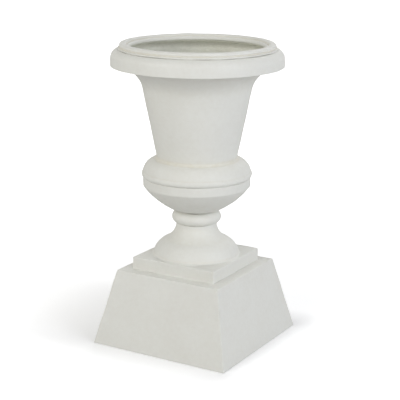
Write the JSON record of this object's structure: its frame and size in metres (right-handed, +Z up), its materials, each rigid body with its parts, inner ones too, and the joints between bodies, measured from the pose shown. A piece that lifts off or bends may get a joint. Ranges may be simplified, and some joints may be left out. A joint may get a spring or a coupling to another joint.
{
  "type": "urn planter",
  "caption": "Classical urn planter: flared bowl with rolled collar on a ringed stem, held by a rod to a square plinth and hollow tapered pedestal, with a lift-out drain plug.",
  "frame": {"origin": "centre of the pedestal's square footprint, on the floor", "axes": "+Z up along the urn's axis; X and Y square to the pedestal's sides; the drain lies on the +X side"},
  "size_m": [0.4459, 0.446, 0.787],
  "materials": {
    "cast_stone": "moulded fibre-reinforced composite, painted matte antique white outside, bare grey-green inside",
    "zinc_steel": "zinc plated",
    "black_rubber": "matte",
    "plug_rubber": "matte",
    "gasket_foam": "closed-cell foam",
    "fibre_laminate": "glass-fibre tape in resin",
    "peg_plastic": "moulded"
  },
  "bodies": {
    "urn": {"bowl_lower_shell": "cast_stone", "bowl_nut": "zinc_steel", "bowl_seal_washer": "black_rubber", "bowl_upper_shell": "cast_stone", "bowl_washer": "zinc_steel", "clamp_bar": "zinc_steel", "drain_grommet": "black_rubber", "locating_pegs": "peg_plastic", "neck_gasket": "gasket_foam", "neck_ring": "cast_stone", "pedestal_nut": "zinc_steel", "pedestal_shell": "cast_stone", "plinth": "cast_stone", "rim_ring": "cast_stone", "seam_strip": "fibre_laminate", "spring_washer": "zinc_steel", "stem_foot": "cast_stone", "tie_rod": "zinc_steel"},
    "plug": {"drain_plug": "plug_rubber"}
  },
  "joints": [
    {"name": "plug_lift", "type": "slide", "parent": "urn", "child": "plug", "axis": [0, 0, 1], "range_m": [0, 0.45]}
  ]
}
